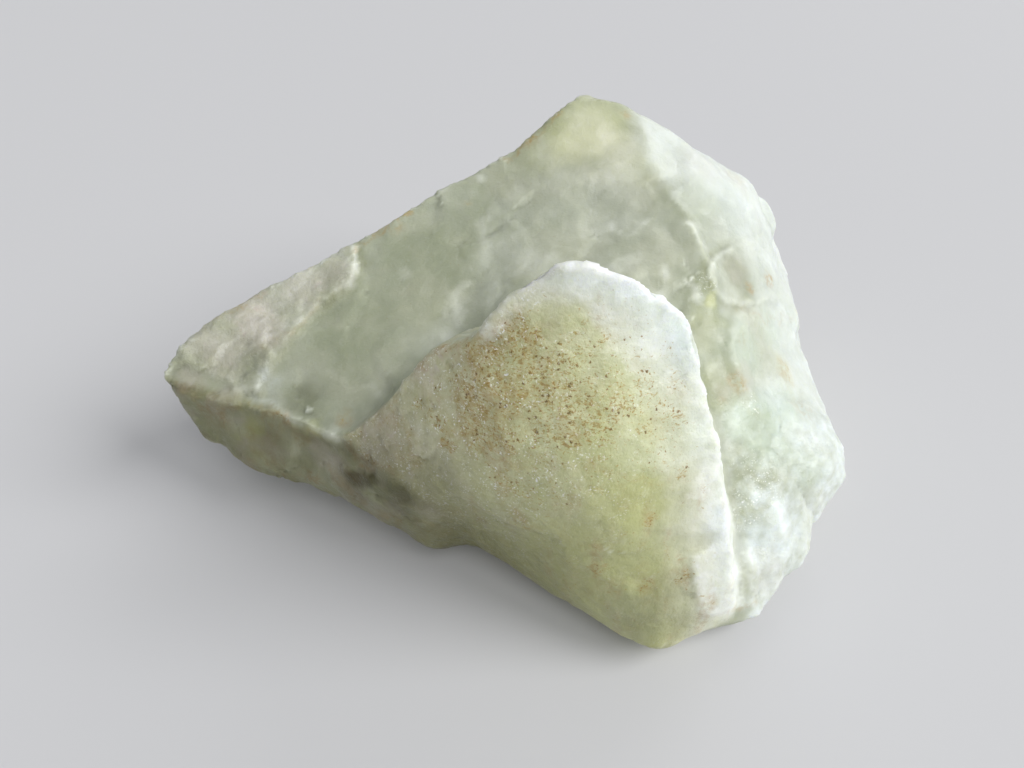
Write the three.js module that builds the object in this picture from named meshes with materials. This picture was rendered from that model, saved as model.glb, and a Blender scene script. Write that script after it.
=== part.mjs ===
// A loose, rough piece of cloudy beryl (aquamarine), as mined. Millimetres, +Z up.
// It rests on a flat cleaved underside at z = 0, and its broad granular face looks towards -Y.
// The stone starts as a cage of named corners, which is refined, rounded, scooped and roughened.
import * as THREE from "three";
import { ImprovedNoise } from "three/addons/math/ImprovedNoise.js";

// Driving dimensions.
const LONGEST_EDGE = 2.4; // the surface is refined until no triangle's side is longer
const ROUNDING_PASSES = 5; // how far the soft edges are worn
const ROUNDING_STEP = 0.5;
const CREASE_ROUNDING_STEP = 0.25; // sharp edges wear along their own line only
const BASE_CLEARANCE = 0.25; // the rough surface stays this far above the resting plane
const STONE_COLOUR = 0xbfc6a4;
const STONE_ROUGHNESS = 0.62;

// Roughness of each kind of surface: height of its bumps, and their size across.
const FRACTURE = {
  smooth: { height: 0.16, size: 5.5 },
  grainy: { height: 0.22, size: 3.6 },
  rough: { height: 0.42, size: 4.4 },
  hidden: { height: 0.5, size: 6 },
  resting: { height: 0, size: 6 },
};
const NOISE_OCTAVES = 3;
const OCTAVE_OFFSET = 17; // keeps the bumps of one octave from lining up with the next

// Corners of the outline seen from above and in front, clockwise from the left tip.
const rim = {
  leftTip: [-34.7, -2.9, 13.8],
  tipShoulder: [-33, 0.2, 16.2],
  backEdge1: [-27.2, 4.2, 18],
  backEdge2: [-21.3, 6.9, 20],
  backEdge3: [-13.4, 10.9, 22.5],
  backEdge4: [-8.5, 14.7, 24],
  backEdge5: [-0.7, 18.8, 26],
  backEdge6: [3.5, 21.5, 28.5],
  apex: [8.3, 25, 31],
  apexRight: [13.3, 24, 29.7],
  shoulder1: [18.9, 22.4, 26],
  shoulder2: [26.6, 23, 22],
  shoulder3: [30.5, 19.6, 15],
  right1: [32.1, 13.4, 11],
  right2: [32, 3.3, 9],
  right3: [33.8, -5.2, 8],
  bulge: [34, -8, 7],
  lowRight1: [31.7, -11.7, 4.7],
  lowRight2: [29.2, -15.3, 3.6],
  lowRight3: [25.4, -20.6, 2.6],
  lowRight4: [22.8, -22.7, 2],
  frontFoot: [18.8, -23.4, 2.6],
  frontPoint: [12.7, -26.2, 2],
  keel1: [7.9, -23.3, 3],
  keel2: [3.1, -20.1, 3.2],
  keel3: [-4.5, -15, 5],
  keelNub: [-7.2, -16, 3],
  keel4: [-17, -10.8, 5.3],
  keel5: [-25.3, -8.8, 6.3],
  keel6: [-32.8, -4.2, 9],
};

// The long slope that falls from the apex to the left tip, and its front edge.
const slope = {
  tipEdge1: [-29.6, -4.7, 13.5],
  tipEdge2: [-24.1, -6.1, 14],
  tipEdge3: [-20.7, -7.6, 14.5],
  elbow: [-15.3, -10.6, 14],
  slope1: [-24, 1.5, 17.4],
  slope2: [-15, 1, 18.4],
  slope3: [-8, 6, 21],
  slope4: [2, 11, 24.2],
  slope5: [10, 9, 24.4],
  foot1: [-8, -4, 17.4],
  foot2: [0, -1, 21.5],
  foot3: [6, -0.5, 23],
  foot4: [12.5, -1, 23],
};

// The bright broken side on the right, and the ridge that parts it from the slope.
const side = {
  ridge1: [13.9, 14.5, 27.1],
  ridge2: [17.4, 9, 25.4],
  ridge3: [19.5, 0.9, 22.6],
  side1: [23.4, 13.7, 24],
  side2: [25.6, 10.6, 20],
  side3: [24.2, 0.1, 17],
  side4: [22.9, -10.6, 13],
  side5: [23.7, -16, 8],
  trench1: [16, -5, 19.5],
  trench2: [18, -10.5, 15],
  trench3: [19.2, -14.5, 11],
  trench4: [19.6, -18, 7.5],
  trench5: [20, -21.5, 4.5],
};

// The tall tooth in front: its crest, its right edge and its broad front face.
const tooth = {
  wing: [-5.9, -10.6, 26],
  crest1: [-2.9, -13.2, 28.5],
  crest2: [-2.5, -13.1, 30],
  crest3: [0.6, -12.4, 34],
  crest4: [2.8, -12.5, 36],
  crest5: [4.4, -12.6, 37],
  crest6: [7.9, -12.7, 35.5],
  crest7: [11.4, -13.1, 33],
  crest8: [13.7, -13.1, 31],
  edge1: [14.3, -14.3, 28.5],
  edge2: [15.8, -15.8, 25],
  edge3: [17, -18.4, 19.5],
  edge4: [18, -20.4, 15.5],
  chip1: [14.9, -21.7, 12.5],
  chip2: [17.1, -20.9, 13.5],
  chip3: [18.9, -21.5, 11.5],
  chip4: [19.4, -23.3, 8],
  chip5: [16.5, -23.8, 6],
  face1: [5.8, -14.8, 31.5],
  face2: [-2.5, -15.6, 27],
  face3: [0.6, -19.8, 20],
  face4: [6.6, -18.8, 26],
  face5: [10.9, -16.1, 27.5],
  face6: [10.7, -19.3, 23],
  face7: [7, -21.9, 17.5],
  face8: [9.1, -23.2, 11],
  cheek: [-7.5, -14.5, 19.5],
  jaw1: [-7.3, -16.3, 13.5],
  jaw2: [0.7, -19.2, 12.5],
  jaw3: [5.9, -22.5, 9],
  nape1: [0, -7.5, 27],
  nape2: [6, -7, 30.5],
  nape3: [11, -7.5, 28.5],
};

// The hidden back, and the outline of the flat underside.
const back = {
  belt1: [-30, 2.5, 9.5],
  belt2: [-21.5, 11.5, 8],
  belt3: [-11, 18.5, 13],
  belt4: [1, 25.5, 9],
  belt5: [10, 28.8, 17.5],
  belt6: [19, 27.5, 9],
  belt7: [28, 25, 11.5],
  belt8: [33, 16, 5],
  belt9: [32, 4, 3],
  belt10: [31, -6, 2],
  base0: [-13, -5, 0],
  base1: [-14, 4, 0],
  base2: [-5, 13, 0],
  base3: [6, 20, 0],
  base4: [17, 20, 0],
  base5: [26, 14, 0],
  base6: [28, 4, 0],
  base7: [27, -6, 0],
  base8: [23, -14, 0],
  base9: [16, -20, 0],
  base10: [8, -18, 0],
  base11: [-2, -12, 0],
};

const corners = { ...rim, ...slope, ...side, ...tooth, ...back };

// Facets by kind of fracture. Each is a ring of corners, anticlockwise seen from outside.
const facets = {
  smooth: [
    "leftTip tipEdge1 slope1 tipShoulder",
    "tipEdge1 tipEdge2 slope1",
    "tipEdge2 tipEdge3 slope2 slope1",
    "tipEdge3 elbow foot1 slope2",
    "tipShoulder slope1 backEdge2 backEdge1",
    "slope1 slope2 backEdge3 backEdge2",
    "slope2 foot1 slope3 backEdge3",
    "slope3 slope4 backEdge5 backEdge4 backEdge3",
    "foot1 foot2 slope4 slope3",
    "foot2 foot3 slope5 slope4",
    "foot3 foot4 slope5",
    "foot4 ridge3 ridge2 slope5",
    "foot4 trench1 ridge3",
    "slope5 ridge2 ridge1",
    "slope4 slope5 ridge1 apexRight apex backEdge6 backEdge5",
    "leftTip keel6 tipEdge1",
    "keel6 keel5 tipEdge2 tipEdge1",
    "keel5 keel4 tipEdge3 tipEdge2",
    "keel4 elbow tipEdge3",
    "keel4 keelNub jaw1 elbow",
    "keelNub keel3 jaw1",
    "keel3 keel2 jaw2 jaw1",
    "keel2 keel1 jaw3 jaw2",
    "keel1 frontPoint face8 jaw3",
    "frontPoint frontFoot chip5 face8",
    "frontFoot chip4 chip5",
    "chip1 chip5 chip4 chip3 chip2",
    "chip2 chip3 edge4",
  ],
  grainy: [
    "elbow jaw1 cheek",
    "elbow cheek wing",
    "cheek jaw1 face3",
    "cheek face3 face2",
    "cheek face2 crest1 wing",
    "jaw1 jaw2 face3",
    "jaw2 jaw3 face7 face3",
    "jaw3 face8 face7",
    "crest1 face2 face1 crest3 crest2",
    "crest3 face1 crest6 crest5 crest4",
    "face1 edge1 crest8 crest7 crest6",
    "face2 face4 face1",
    "face2 face3 face4",
    "face1 face4 face5",
    "face1 face5 edge1",
    "face5 edge2 edge1",
    "face4 face6 face5",
    "face5 face6 edge2",
    "face6 edge3 edge2",
    "face3 face7 face4",
    "face4 face7 face6",
    "face7 chip1 face6",
    "face6 chip1 chip2 edge3",
    "chip2 edge4 edge3",
    "face7 face8 chip1",
    "face8 chip5 chip1",
  ],
  rough: [
    "apexRight ridge1 side1 shoulder1",
    "ridge1 ridge2 side1",
    "ridge2 side2 side1",
    "ridge2 ridge3 side3 side2",
    "side1 side2 shoulder3 shoulder2 shoulder1",
    "side2 right1 shoulder3",
    "side2 side3 right2 right1",
    "ridge3 trench1 trench2 side4 side3",
    "side3 side4 right3 right2",
    "side4 lowRight1 bulge right3",
    "trench2 trench3 side5 side4",
    "side4 side5 lowRight2 lowRight1",
    "side5 lowRight3 lowRight2",
    "trench3 trench4 lowRight3 side5",
    "trench4 trench5 lowRight4 lowRight3",
    "crest8 edge1 trench1",
    "edge1 edge2 trench1",
    "edge2 edge3 trench2 trench1",
    "edge3 edge4 trench3 trench2",
    "edge4 chip3 trench4 trench3",
    "chip3 chip4 trench5 trench4",
    "chip4 frontFoot trench5",
    "frontFoot lowRight4 trench5",
    "elbow wing foot1",
    "wing nape1 foot2 foot1",
    "wing crest1 crest2 nape1",
    "crest2 crest3 nape1",
    "crest3 crest4 nape2 nape1",
    "crest4 crest5 crest6 nape2",
    "crest6 crest7 nape3 nape2",
    "crest7 crest8 nape3",
    "crest8 trench1 foot4 nape3",
    "nape1 nape2 foot3 foot2",
    "nape2 nape3 foot4 foot3",
  ],
  hidden: [
    "belt1 keel6 leftTip tipShoulder",
    "belt2 belt1 tipShoulder backEdge1 backEdge2",
    "belt3 belt2 backEdge2 backEdge3",
    "belt3 backEdge3 backEdge4",
    "belt4 belt3 backEdge4 backEdge5",
    "belt4 backEdge5 backEdge6",
    "belt5 belt4 backEdge6 apex",
    "belt5 apex apexRight",
    "belt6 belt5 apexRight shoulder1",
    "belt6 shoulder1 shoulder2",
    "belt7 belt6 shoulder2 shoulder3",
    "belt8 belt7 shoulder3 right1",
    "belt9 belt8 right1 right2",
    "belt10 belt9 right2 right3",
    "belt10 right3 bulge lowRight1",
    "keel6 belt1 base1 base0",
    "belt1 belt2 base2 base1",
    "belt2 belt3 base2",
    "belt3 belt4 base3 base2",
    "belt4 belt5 base3",
    "belt5 belt6 base4 base3",
    "belt6 belt7 base5 base4",
    "belt7 belt8 base5",
    "belt8 belt9 base6 base5",
    "belt9 belt10 base7 base6",
    "belt10 lowRight1 base7",
    "lowRight1 lowRight2 base8 base7",
    "lowRight2 lowRight3 base8",
    "lowRight3 lowRight4 base9 base8",
    "lowRight4 frontFoot base9",
    "frontFoot frontPoint base9",
    "frontPoint keel1 base10 base9",
    "keel1 keel2 base10",
    "keel2 keel3 base11 base10",
    "keel3 keelNub base11",
    "keelNub keel4 base11",
    "keel4 keel5 base0 base11",
    "keel5 keel6 base0",
  ],
  resting: ["base0 base1 base2 base3 base4 base5 base6 base7 base8 base9 base10 base11"],
};

// Edges that stay sharp, as chains of corners.
const creases = [
  "elbow wing crest1 crest2 crest3 crest4 crest5 crest6 crest7 crest8",
  "crest8 edge1 edge2 edge3 edge4 chip3 chip4 chip5 chip1 chip2 chip3",
  "apexRight ridge1 ridge2 ridge3",
  "leftTip tipShoulder backEdge1 backEdge2 backEdge3 backEdge4 backEdge5 backEdge6 apex",
  "leftTip tipEdge1 tipEdge2 tipEdge3 elbow",
  "backEdge3 belt3 belt4 belt5 apex",
  "belt1 belt2 belt3 base2",
  "belt5 belt6 belt7 shoulder2",
  "belt7 belt8 belt9",
  "base0 base1 base2 base3 base4 base5 base6 base7 base8 base9 base10 base11 base0",
];

// Shell-shaped hollows left by flakes that broke away: where the ball that fits each lies, and its radius.
const scoops = [
  { centre: [-17, 24, 17], radius: 12 },
  { centre: [6, 38, 20], radius: 12 },
  { centre: [29, 34, 18], radius: 13 },
];

const edgeKey = (a, b) => (a < b ? `${a}_${b}` : `${b}_${a}`);

// The cage as vertices, triangles with their kind of fracture, and the set of sharp edges.
function cageMesh() {
  const names = Object.keys(corners);
  const vertices = names.map((name) => new THREE.Vector3(...corners[name]));
  const indicesOf = (chain) => chain.split(" ").map((name) => names.indexOf(name));
  const triangles = [];
  for (const [kind, rings] of Object.entries(facets)) {
    for (const ring of rings.map(indicesOf)) {
      for (const local of flatTriangles(ring.map((i) => vertices[i]))) {
        triangles.push({ corners: local.map((i) => ring[i]), kind });
      }
    }
  }
  const sharp = new Set();
  for (const chain of creases.map(indicesOf)) {
    chain.slice(1).forEach((corner, i) => sharp.add(edgeKey(chain[i], corner)));
  }
  return { vertices, triangles, sharp };
}

// Splits a ring of points into triangles, seen along its own normal.
function flatTriangles(points) {
  const normal = new THREE.Vector3();
  points.forEach((point, i) => {
    normal.add(point.clone().cross(points[(i + 1) % points.length]));
  });
  const turn = new THREE.Quaternion().setFromUnitVectors(normal.normalize(), new THREE.Vector3(0, 0, 1));
  const flat = points.map((point) => point.clone().applyQuaternion(turn));
  const outline = flat.map((point) => new THREE.Vector2(point.x, point.y));
  return THREE.ShapeUtils.triangulateShape(outline, []);
}

// Halves every edge longer than LONGEST_EDGE, over and over, and keeps the surface closed.
function refine(mesh) {
  const { vertices } = mesh;
  for (;;) {
    const middles = new Map();
    const middleOf = (a, b) => middles.get(edgeKey(a, b));
    for (const { corners: ring } of mesh.triangles) {
      ring.forEach((a, i) => {
        const b = ring[(i + 1) % 3];
        const key = edgeKey(a, b);
        if (middles.has(key) || vertices[a].distanceTo(vertices[b]) <= LONGEST_EDGE) return;
        middles.set(key, vertices.push(vertices[a].clone().lerp(vertices[b], 0.5)) - 1);
        if (mesh.sharp.has(key)) {
          mesh.sharp.add(edgeKey(a, middles.get(key)));
          mesh.sharp.add(edgeKey(middles.get(key), b));
        }
      });
    }
    if (middles.size === 0) return;
    mesh.triangles = mesh.triangles.flatMap((triangle) => splitTriangle(triangle, middleOf, vertices));
  }
}

// One triangle as the two, three or four that its halved edges give.
function splitTriangle({ corners: ring, kind }, middleOf, vertices) {
  const halves = ring.map((a, i) => middleOf(a, ring[(i + 1) % 3]));
  const count = halves.filter((half) => half !== undefined).length;
  const made = (...parts) => parts.map((part) => ({ corners: part, kind }));
  if (count === 0) return made(ring);
  const firstHalved = halves.findIndex((half) => half !== undefined);
  const start = count === 2 ? (halves.indexOf(undefined) + 1) % 3 : firstHalved;
  const [a, b, c] = [0, 1, 2].map((i) => ring[(start + i) % 3]);
  const [ab, bc, ca] = [0, 1, 2].map((i) => halves[(start + i) % 3]);
  if (count === 1) return made([a, ab, c], [ab, b, c]);
  if (count === 3) return made([a, ab, ca], [ab, b, bc], [ca, bc, c], [ab, bc, ca]);
  if (vertices[a].distanceTo(vertices[bc]) < vertices[ab].distanceTo(vertices[c])) {
    return made([ab, b, bc], [a, ab, bc], [a, bc, c]);
  }
  return made([ab, b, bc], [a, ab, c], [ab, bc, c]);
}

// Each vertex's neighbours: along its sharp edges where it lies on two or more, else all of them.
function neighboursOf(mesh) {
  const around = mesh.vertices.map(() => ({ all: new Set(), sharp: new Set() }));
  for (const { corners: ring } of mesh.triangles) {
    ring.forEach((a, i) => {
      const b = ring[(i + 1) % 3];
      for (const [from, to] of [[a, b], [b, a]]) {
        around[from].all.add(to);
        if (mesh.sharp.has(edgeKey(a, b))) around[from].sharp.add(to);
      }
    });
  }
  return around;
}

// Wears the edges: each vertex moves part of the way to the middle of its neighbours.
function wear(mesh) {
  const around = neighboursOf(mesh);
  for (let pass = 0; pass < ROUNDING_PASSES; pass++) {
    mesh.vertices = mesh.vertices.map((vertex, i) => {
      const onCrease = around[i].sharp.size >= 2;
      const near = onCrease ? around[i].sharp : around[i].all;
      const middle = new THREE.Vector3();
      near.forEach((j) => middle.addScaledVector(mesh.vertices[j], 1 / near.size));
      return vertex.clone().lerp(middle, onCrease ? CREASE_ROUNDING_STEP : ROUNDING_STEP);
    });
  }
}

// Pushes the surface back to the wall of each hollow's ball.
function scoop(mesh) {
  for (const { centre, radius } of scoops) {
    const middle = new THREE.Vector3(...centre);
    for (const vertex of mesh.vertices) {
      const out = vertex.clone().sub(middle);
      if (out.length() < radius) vertex.copy(middle).addScaledVector(out.normalize(), radius);
    }
  }
}

// Sum of ever finer and weaker noise at a point, from about -1 to 1.
function fractal(noise, point, size) {
  let sum = 0;
  for (let octave = 0; octave < NOISE_OCTAVES; octave++) {
    const scale = 2 ** octave / size;
    const height = point.z * scale + octave * OCTAVE_OFFSET;
    sum += noise.noise(point.x * scale, point.y * scale, height) / 2 ** octave;
  }
  return sum;
}

// Roughens the surface along its normals, each vertex as the kinds of facet that meet there say.
function roughen(mesh) {
  const noise = new ImprovedNoise();
  const normals = mesh.vertices.map(() => new THREE.Vector3());
  const kinds = mesh.vertices.map(() => []);
  for (const { corners: ring, kind } of mesh.triangles) {
    const [a, b, c] = ring.map((i) => mesh.vertices[i]);
    const facing = b.clone().sub(a).cross(c.clone().sub(a));
    ring.forEach((i) => {
      normals[i].add(facing);
      kinds[i].push(FRACTURE[kind]);
    });
  }
  mesh.vertices.forEach((vertex, i) => {
    const resting = kinds[i].includes(FRACTURE.resting);
    const mean = (key) => kinds[i].reduce((sum, kind) => sum + kind[key], 0) / kinds[i].length;
    if (!resting) {
      const lift = mean("height") * fractal(noise, vertex, mean("size"));
      vertex.addScaledVector(normals[i].normalize(), lift);
    }
    vertex.z = resting ? 0 : Math.max(vertex.z, BASE_CLEARANCE);
  });
}

// The finished surface, with its box centred over the origin.
function stoneGeometry() {
  const mesh = cageMesh();
  refine(mesh);
  wear(mesh);
  scoop(mesh);
  roughen(mesh);
  const geometry = new THREE.BufferGeometry().setFromPoints(mesh.vertices);
  geometry.setIndex(mesh.triangles.flatMap((triangle) => triangle.corners));
  geometry.computeBoundingBox();
  const centre = geometry.boundingBox.getCenter(new THREE.Vector3());
  geometry.translate(-centre.x, -centre.y, 0);
  geometry.computeVertexNormals();
  return geometry;
}

const material = new THREE.MeshStandardMaterial({
  color: STONE_COLOUR,
  roughness: STONE_ROUGHNESS,
  metalness: 0,
});
const stone = new THREE.Mesh(stoneGeometry(), material);
stone.name = "aquamarine";

const object = new THREE.Group();
object.add(stone);

export default object;
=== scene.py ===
"""A raw aquamarine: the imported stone, refined, broken up into fracture detail and given its looks."""

import math

import bpy
import numpy as np
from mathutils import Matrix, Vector, noise
from mathutils.bvhtree import BVHTree
from mathutils.kdtree import KDTree


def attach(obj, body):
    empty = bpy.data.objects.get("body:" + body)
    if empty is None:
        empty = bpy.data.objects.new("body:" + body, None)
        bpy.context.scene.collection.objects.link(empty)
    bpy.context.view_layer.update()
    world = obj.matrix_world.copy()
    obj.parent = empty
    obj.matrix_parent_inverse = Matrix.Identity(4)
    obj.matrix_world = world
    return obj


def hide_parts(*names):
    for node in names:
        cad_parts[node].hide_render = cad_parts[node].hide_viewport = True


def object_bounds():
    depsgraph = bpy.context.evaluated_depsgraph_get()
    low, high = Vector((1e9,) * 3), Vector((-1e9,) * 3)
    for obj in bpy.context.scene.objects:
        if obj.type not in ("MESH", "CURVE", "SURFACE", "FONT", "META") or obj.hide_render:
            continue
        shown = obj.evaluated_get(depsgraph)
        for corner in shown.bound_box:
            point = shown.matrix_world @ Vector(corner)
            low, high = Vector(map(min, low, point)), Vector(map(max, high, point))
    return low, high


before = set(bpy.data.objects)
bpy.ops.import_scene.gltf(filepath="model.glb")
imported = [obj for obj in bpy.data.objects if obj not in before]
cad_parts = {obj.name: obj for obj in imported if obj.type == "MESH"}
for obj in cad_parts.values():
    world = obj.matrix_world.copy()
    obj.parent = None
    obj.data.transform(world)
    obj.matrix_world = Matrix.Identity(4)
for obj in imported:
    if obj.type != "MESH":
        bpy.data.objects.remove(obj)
CAD_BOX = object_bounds()

MM = 0.001
NODE = "aquamarine"

# ---- The view: lengths in millimetres, places in pixels ----
# A pixel place below lands on the vertex in plain sight that is nearest to it in this view.
PHOTO_WIDTH, PHOTO_HEIGHT = 1024, 768
FOCAL_PIXELS = 900
SENSOR_WIDTH = 36.0
CAMERA_PLACE = np.array((0.56, -66.77, 76.0))
CAMERA_PITCH = math.radians(45)
CAMERA_RIGHT = np.array((1, 0, 0))
CAMERA_UP = np.array((0, math.sin(CAMERA_PITCH), math.cos(CAMERA_PITCH)))
CAMERA_FORWARD = np.array((0, math.cos(CAMERA_PITCH), -math.sin(CAMERA_PITCH)))
CLIP_NEAR, CLIP_FAR = 1, 10000

# ---- The refined stone: lengths in millimetres ----
WELD_GAP = 0.002
VOXEL = 0.34
SHARP_ANGLE = math.radians(30)
STAIR_PASSES = 2
SHARPENING = 0.6
SHARPENING_PASSES = 12
LARGEST_SHARPENING = 0.4
FLAT_BASE_HEIGHT = 0.12
FULL_DETAIL_HEIGHT = 1.2
BOX_MARGIN = 0.02

# ---- What is in plain sight ----
SIGHT_START = 0.4
SEEN_PASSES = 4
CARRY_PASSES = 6
HALF_SEEN = 0.5
PLAINLY_SEEN = 0.9

# ---- Fracture detail: depths and heights in millimetres ----
BITE_DEPTH, SMALL_BITE_DEPTH = 0.35, 0.2
DETAIL_HEIGHTS = {"swell": 0.2, "large_chips": 0.45, "small_chips": 0.15, "sugar": 0.05, "strip": 0.22,
                  "side_grain": 0.13, "crest_grain": 0.16, "band_flakes": 0.22, "hidden_flakes": 0.3}
# The part of a plate's rise that its breaks leave, and the sugary grain that each face starts from.
LEAST_PLATE, SUGAR_EVERYWHERE = 0.5, 0.3
# Chips: size in millimetres and seed, and then shares of that size.
LARGE_CHIPS, SMALL_CHIPS = (6, 2), (2.2, 3)
CHIP_JITTER = 0.45
CHIP_WARP_SIZE = 0.8
CHIP_WARP = 0.22
CHIP_STEP = 0.18
CHIP_REACH = 0.6
# Terraces: size in millimetres, seed, octaves and number of steps.
TERRACES = {"band_flakes": (4.5, 6, 3, 4), "hidden_flakes": (9, 7, 3, 5)}

# ---- Noise ----
FRACTAL_DIMENSION, FRACTAL_GAP = 0.9, 2.0
SEED_STRIDE, AXIS_STRIDE = 17.3, 3.1
WARP_OCTAVES = 2
RAGGED_PIXELS = 4
CURTAIN_SHAPE = np.array((1.0, 0.3, 0.25))
# Plain noise: size in millimetres, seed and octaves.
NOISES = {
    "ragged_across": (1.8, 8, 3), "ragged_down": (1.8, 9, 3), "swell": (9, 1, 2), "sugar": (0.9, 4, 2),
    "side_grain": (1.6, 39, 3), "crest_grain": (1.5, 41, 3), "small_bite": (0.9, 32, 2),
    "cloud": (9, 21, 3), "drift": (16, 22, 2), "curtain": (1.6, 38, 3), "grainy_milk": (1, 40, 3),
    "under_milk": (3, 36, 3), "sugar_cloud": (2, 37, 2),
}
# Blotches: size in millimetres, seed, octaves, and the levels of noise at which they are 0 and 1.
BLOTCHES = {
    "plate_breaks": (2.5, 35, 2, -0.4, 0.3), "bite": (2.2, 31, 3, 0.05, 0.6),
    "flakes": (2.2, 25, 3, -0.1, 0.5), "under_stain": (3, 26, 3, 0.05, 0.5),
    "cheek_stain": (3, 28, 3, -0.2, 0.5), "front_stain": (3.5, 27, 3, 0.05, 0.6),
    "hidden_stain": (5, 23, 3, 0.2, 0.7), "under_pink": (3.5, 29, 3, -0.1, 0.4),
    "hidden_pink": (8, 24, 2, 0.1, 0.6), "body": (5, 33, 4, -0.6, 0.6),
    "veil": (2.8, 34, 5, -0.15, 0.6),
}
# Warps: size and amount in millimetres, and seed.
WARPS = {"carried": (3, 0.8, 12), "lobes": (3.5, 1.1, 5), "bumps": (2, 0.4, 13),
         "patches": (1.4, 0.45, 11)}

# ---- Soft steps: the two values at which each one is 0 and 1 ----
FADES = {
    # Depth in the view in millimetres: the tooth is nearer than the body behind it.
    "nearness": (82.0, 80.4),
    # Millimetres from the nearest vertex in plain sight, and millimetres along X.
    "carried": (10, 1), "hidden_milk": (-5, 28),
    # Pixels inside an outline.
    "under": (-7, 7), "side": (-10, 10), "band": (-8, 8), "tooth": (-8, 3), "cheek": (-42, 42),
    "strip": (-2, 3), "rim": (60, 5),
    # Pixels away from a line.
    "crest": (32, 6), "glow": (95, 10), "below_crest": (6, 26), "foot_shade": (75, 0),
    "wide_foot_shade": (135, 0), "lip": (7, 1), "groove": (12, 1),
    # Pixels across.
    "under_end": (480, 375), "strip_slant": (742, 690), "low_front_end": (700, 640),
    "foot_shade_end": (660, 440), "front_sugar": (580, 480), "under_foot_shade": (360, 430),
    # Pixels down.
    "grainy": (375, 460), "low_front": (450, 580), "curtain": (430, 520),
    # Millimetres that a vertex stands out of its surroundings, or lies below them.
    "nicked_edge": (0.06, 0.2), "bright_edge": (0.035, 0.13), "hollow_shade": (0.02, 0.12),
    # Shares: of a patch's radius, of a terrace's step, and of the curtain's noise.
    "patch": (1.15, 0.25), "terrace": (0.35, 0.6), "curtain_stain": (0.1, 0.6),
}
NICK_PASSES, EDGE_PASSES, HOLLOW_PASSES = 8, 3, 5
EVEN_VEIL = 0.4

# ---- Lines and outlines of the faces, in pixels ----
CREST_LINE = [
    (480, 330), (500, 310), (520, 283), (550, 270), (573, 262), (600, 270), (635, 275), (650, 285),
    (665, 300), (692, 320), (698, 355), (713, 400), (722, 470), (730, 520), (737, 600),
]
# The front face is painted lighter near this line: a glow of light shining through the thin crest.
GLOW_LINE = CREST_LINE[5:]
TOOTH_FACE = [(345, 440), (385, 400), (440, 348), (465, 341)] + CREST_LINE + [
    (735, 625), (655, 660), (600, 630), (545, 605), (500, 585), (455, 565), (400, 550), (360, 500)]
# Left of this pixel and below it, all belongs to the tooth, whatever its depth.
TOOTH_CORNER = (690, 432)
CHEEK_SIDE = [(320, 300), (478, 300), (478, 420), (462, 470), (425, 520), (320, 520)]
UNDER_FACE = [
    (160, 378), (178, 383), (258, 407), (310, 430), (345, 443), (370, 462), (395, 478), (440, 510),
    (455, 545), (420, 560), (300, 500), (200, 440),
]
CORNER_STRIP = [(690, 556), (708, 548), (722, 540), (737, 556), (742, 606), (701, 618), (694, 586)]
# Painted shade darkens the front face near this line, where the stone comes down to the floor.
FOOT_LINE = [(372, 490), (425, 530), (455, 545), (500, 570), (545, 592), (600, 620)]
# The stone's outline; the right side is painted lighter near it, as rim light.
STONE_OUTLINE = [
    (545, 122), (592, 97), (615, 103), (660, 130), (720, 168), (745, 180), (765, 205), (778, 235),
    (797, 300), (798, 340), (825, 410), (843, 467), (828, 510), (790, 582), (755, 618), (655, 650),
    (500, 565),
]
RIGHT_SIDE = [
    (632, 95), (646, 165), (690, 215), (697, 250), (700, 300), (715, 345), (722, 400), (728, 470),
    (736, 530), (742, 625), (820, 600), (870, 470), (830, 300), (790, 170), (700, 100),
]
FLAKY_BAND = [
    (175, 350), (205, 320), (300, 262), (352, 236), (362, 262), (345, 295), (310, 322), (285, 350),
    (262, 395), (235, 392), (205, 372), (178, 372),
]

# ---- Plates with one proud lip ----
# The lip and the rest of the outline, the rise in millimetres, and the fade and soft edge in pixels.
PLATES = [
    dict(lip=[(727, 249), (716, 255), (709, 266), (709, 279), (715, 292), (726, 301), (741, 306)],
         rest=[(780, 300), (784, 262), (765, 238), (740, 240)], rise=0.3, fade=66, soft=3),
    dict(lip=[(745, 303), (732, 325), (729, 345), (731, 368), (741, 384), (747, 396)],
         rest=[(778, 402), (800, 370), (798, 330), (788, 300), (765, 292)], rise=0.3, fade=55, soft=8),
    dict(lip=[(356, 246), (360, 264), (350, 287), (328, 300)],
         rest=[(300, 300), (310, 262), (340, 243)], rise=0.2, fade=30, soft=3),
    dict(lip=[(328, 300), (306, 318), (290, 340), (272, 362), (262, 390), (236, 392)],
         rest=[(210, 372), (200, 340), (280, 280)], rise=0.16, fade=40, soft=5),
]
# Milky veils in the front face, listed like the plates: the rise is a share of milk.
VEILS = [
    dict(lip=[(600, 268), (598, 290), (606, 310), (601, 332), (616, 356)],
         rest=[(700, 430), (790, 420), (720, 280), (640, 250)], rise=0.34, fade=75, soft=3),
    dict(lip=[(604, 405), (610, 432), (622, 460), (650, 473), (684, 467)],
         rest=[(715, 440), (700, 390), (640, 375)], rise=0.1, fade=60, soft=3),
    dict(lip=[(492, 338), (515, 313), (540, 293), (574, 273)],
         rest=[(573, 250), (500, 280), (462, 335)], rise=0.3, fade=26, soft=2.5),
]

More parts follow.
